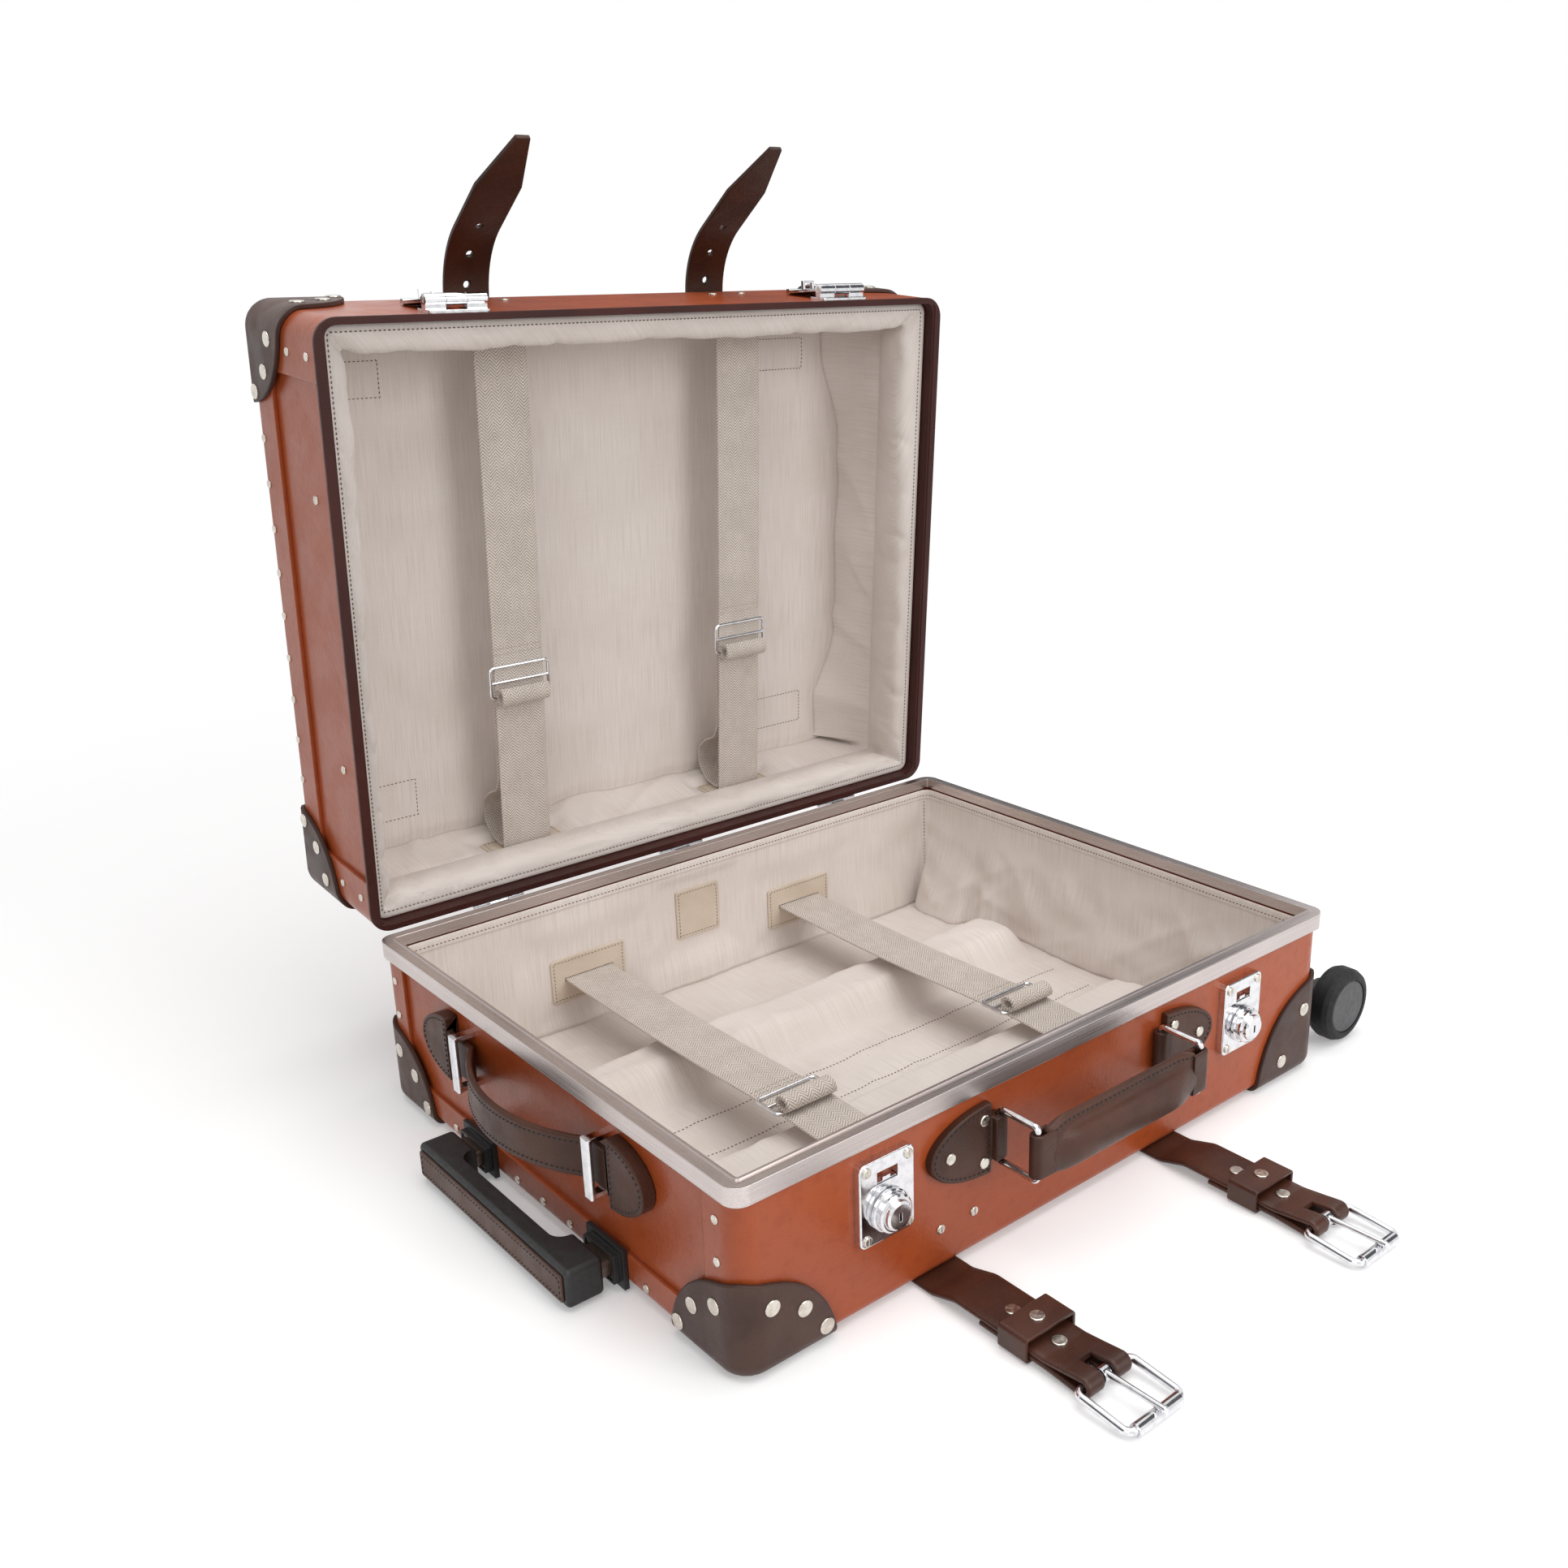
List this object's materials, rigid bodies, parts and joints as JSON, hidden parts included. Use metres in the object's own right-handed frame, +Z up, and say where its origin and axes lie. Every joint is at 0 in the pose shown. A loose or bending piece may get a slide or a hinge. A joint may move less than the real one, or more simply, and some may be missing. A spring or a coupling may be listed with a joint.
{
  "type": "carry-on suitcase",
  "caption": "Open fibreboard carry-on suitcase with leather corners, buckle straps, key locks, lined shells, carry handles, pull-out trolley and wheels.",
  "frame": {"origin": "on the floor under the middle of the open case's bounding box", "axes": "+X along the case from the trolley grip to the wheels, +Y from the front locks to the hinges, +Z up"},
  "size_m": [0.584, 0.6538, 0.5952],
  "materials": {
    "fibreboard": "satin lacquered vulcanised fibre with a fine grain",
    "rim_aluminium": "satin",
    "binding": "smooth, dark brown",
    "corner_leather": "smooth, dark brown, burnished edges",
    "handle_leather": "smooth, dark brown, stitched edges",
    "strap_leather": "smooth, dark chestnut",
    "nickel": "nickel plate",
    "chrome": "polished",
    "lining_cotton": "woven cotton, stitched",
    "webbing": "herringbone webbing",
    "patch_leather": "natural, stitched",
    "black_plastic": "satin black",
    "tube_bronze": "bronze anodised",
    "tyre_rubber": "matt",
    "hub_grey": "satin grey"
  },
  "bodies": {
    "base": {"base_wrap": "fibreboard", "base_end_panels": "fibreboard", "base_rim": "rim_aluminium", "base_corners": "corner_leather", "base_rivets": "nickel", "base_lining": "lining_cotton", "base_webbing": "webbing", "base_webbing_buckles": "nickel", "base_patches": "patch_leather", "base_screws": "nickel", "lock_plates": "chrome", "carry_tabs": "handle_leather", "handle_rivets": "nickel", "side_handle_strap": "handle_leather", "side_handle_loops": "chrome", "trolley_bezels": "black_plastic", "trolley_channels": "tube_bronze", "wheel_brackets": "black_plastic", "wheel_axles": "chrome", "under_straps": "strap_leather", "strap_keepers": "strap_leather", "hinge_base_leaves": "nickel"},
    "lid": {"lid_wrap": "fibreboard", "lid_end_panels": "fibreboard", "lid_rim": "binding", "lid_corners": "corner_leather", "lid_rivets": "nickel", "lid_screws": "nickel", "lid_lining": "lining_cotton", "lid_webbing": "webbing", "lid_webbing_buckles": "nickel", "lid_patches": "patch_leather", "hasp_plates": "chrome", "tongue_straps": "strap_leather", "hinge_lid_leaves": "nickel", "hinge_pins": "nickel"},
    "trolley_inner": {"trolley_inner_tubes": "tube_bronze", "trolley_grip": "black_plastic", "trolley_grip_leather": "handle_leather"},
    "trolley_middle": {"trolley_middle_tubes": "tube_bronze"},
    "trolley_release_bar": {"trolley_release_bar": "black_plastic"},
    "carry_grip": {"carry_grip": "handle_leather"},
    "wheel_front": {"wheel_front_tyre": "tyre_rubber", "wheel_front_hub": "hub_grey"},
    "wheel_rear": {"wheel_rear_tyre": "tyre_rubber", "wheel_rear_hub": "hub_grey"},
    "lock_bolt_left": {"lock_bolt_left": "chrome"},
    "lock_barrel_left": {"lock_barrel_left": "chrome"},
    "carry_ring_left": {"carry_ring_left": "chrome"},
    "buckle_frame_left": {"buckle_frame_left": "chrome"},
    "buckle_prong_left": {"buckle_prong_left": "chrome"},
    "buckle_roller_left": {"buckle_roller_left": "chrome"},
    "hasp_flap_left": {"hasp_flap_left": "chrome"},
    "lock_bolt_right": {"lock_bolt_right": "chrome"},
    "lock_barrel_right": {"lock_barrel_right": "chrome"},
    "carry_ring_right": {"carry_ring_right": "chrome"},
    "buckle_frame_right": {"buckle_frame_right": "chrome"},
    "buckle_prong_right": {"buckle_prong_right": "chrome"},
    "buckle_roller_right": {"buckle_roller_right": "chrome"},
    "hasp_flap_right": {"hasp_flap_right": "chrome"}
  },
  "joints": [
    {"name": "lid_hinge", "type": "hinge", "parent": "base", "child": "lid", "pos_m": [-0.016, 0.21879, 0.1056], "axis": [1, 0, 0], "range_deg": [0, 86]},
    {"name": "trolley_inner_slide", "type": "slide", "parent": "base", "child": "trolley_inner", "axis": [-1, 0, 0], "range_m": [0, 0.46]},
    {"name": "trolley_middle_slide", "type": "slide", "parent": "base", "child": "trolley_middle", "axis": [-1, 0, 0], "range_m": [0, 0.23]},
    {"name": "trolley_release", "type": "slide", "parent": "trolley_inner", "child": "trolley_release_bar", "axis": [-1, 0, 0], "range_m": [0, 0.0025], "stiffness_N_per_m": 800, "springref_m": -0.0025},
    {"name": "wheel_front_spin", "type": "hinge", "parent": "base", "child": "wheel_front", "pos_m": [0.266, -0.16211, 0.027], "axis": [0, 1, 0], "continuous": true},
    {"name": "wheel_rear_spin", "type": "hinge", "parent": "base", "child": "wheel_rear", "pos_m": [0.266, 0.20589, 0.027], "axis": [0, 1, 0], "continuous": true},
    {"name": "carry_ring_left_swing", "type": "hinge", "parent": "base", "child": "carry_ring_left", "pos_m": [-0.0845, -0.17541, 0.0735], "axis": [0, 0, 1], "range_deg": [-40, 40]},
    {"name": "carry_grip_swing", "type": "hinge", "parent": "carry_ring_left", "child": "carry_grip", "pos_m": [-0.0845, -0.20411, 0.0735], "axis": [0, 0, 1], "range_deg": [-40, 40]},
    {"name": "carry_ring_right_swing", "type": "hinge", "parent": "base", "child": "carry_ring_right", "pos_m": [0.0525, -0.17541, 0.0735], "axis": [0, 0, 1], "range_deg": [-40, 40]},
    {"name": "hasp_left", "type": "hinge", "parent": "lid", "child": "hasp_flap_left", "pos_m": [-0.165, 0.20727, 0.50266], "axis": [1, 0, 0], "range_deg": [0, 187]},
    {"name": "lock_barrel_left_turn", "type": "hinge", "parent": "base", "child": "lock_barrel_left", "pos_m": [-0.165, -0.17061, 0.0635], "axis": [0, -1, 0], "range_deg": [0, 90]},
    {"name": "lock_bolt_left_slide", "type": "slide", "parent": "base", "child": "lock_bolt_left", "axis": [0, 0, 1], "range_m": [0, 0.0027]},
    {"name": "buckle_left_swing", "type": "hinge", "parent": "base", "child": "buckle_frame_left", "pos_m": [-0.124, -0.28711, 0.0062], "axis": [-1, 0, 0], "range_deg": [0, 110]},
    {"name": "prong_left_swing", "type": "hinge", "parent": "buckle_frame_left", "child": "buckle_prong_left", "pos_m": [-0.124, -0.28711, 0.0062], "axis": [-1, 0, 0], "range_deg": [0, 120]},
    {"name": "roller_left_spin", "type": "hinge", "parent": "buckle_frame_left", "child": "buckle_roller_left", "pos_m": [-0.124, -0.32101, 0.0037], "axis": [1, 0, 0], "continuous": true},
    {"name": "hasp_right", "type": "hinge", "parent": "lid", "child": "hasp_flap_right", "pos_m": [0.133, 0.20727, 0.50266], "axis": [1, 0, 0], "range_deg": [0, 187]},
    {"name": "lock_barrel_right_turn", "type": "hinge", "parent": "base", "child": "lock_barrel_right", "pos_m": [0.133, -0.17061, 0.0635], "axis": [0, -1, 0], "range_deg": [0, 90]},
    {"name": "lock_bolt_right_slide", "type": "slide", "parent": "base", "child": "lock_bolt_right", "axis": [0, 0, 1], "range_m": [0, 0.0027]},
    {"name": "buckle_right_swing", "type": "hinge", "parent": "base", "child": "buckle_frame_right", "pos_m": [0.066, -0.28711, 0.0062], "axis": [-1, 0, 0], "range_deg": [0, 110]},
    {"name": "prong_right_swing", "type": "hinge", "parent": "buckle_frame_right", "child": "buckle_prong_right", "pos_m": [0.066, -0.28711, 0.0062], "axis": [-1, 0, 0], "range_deg": [0, 120]},
    {"name": "roller_right_spin", "type": "hinge", "parent": "buckle_frame_right", "child": "buckle_roller_right", "pos_m": [0.066, -0.32101, 0.0037], "axis": [1, 0, 0], "continuous": true}
  ],
  "couplings": [
    {"joint": "trolley_middle_slide", "follows": "trolley_inner_slide", "ratio": 0.5},
    {"joint": "carry_grip_swing", "follows": "carry_ring_left_swing", "ratio": -1},
    {"joint": "carry_ring_right_swing", "follows": "carry_ring_left_swing", "ratio": 1},
    {"joint": "lock_bolt_left_slide", "follows": "lock_barrel_left_turn", "m_per_rad": 0.0016552},
    {"joint": "lock_bolt_right_slide", "follows": "lock_barrel_right_turn", "m_per_rad": 0.0016552}
  ]
}
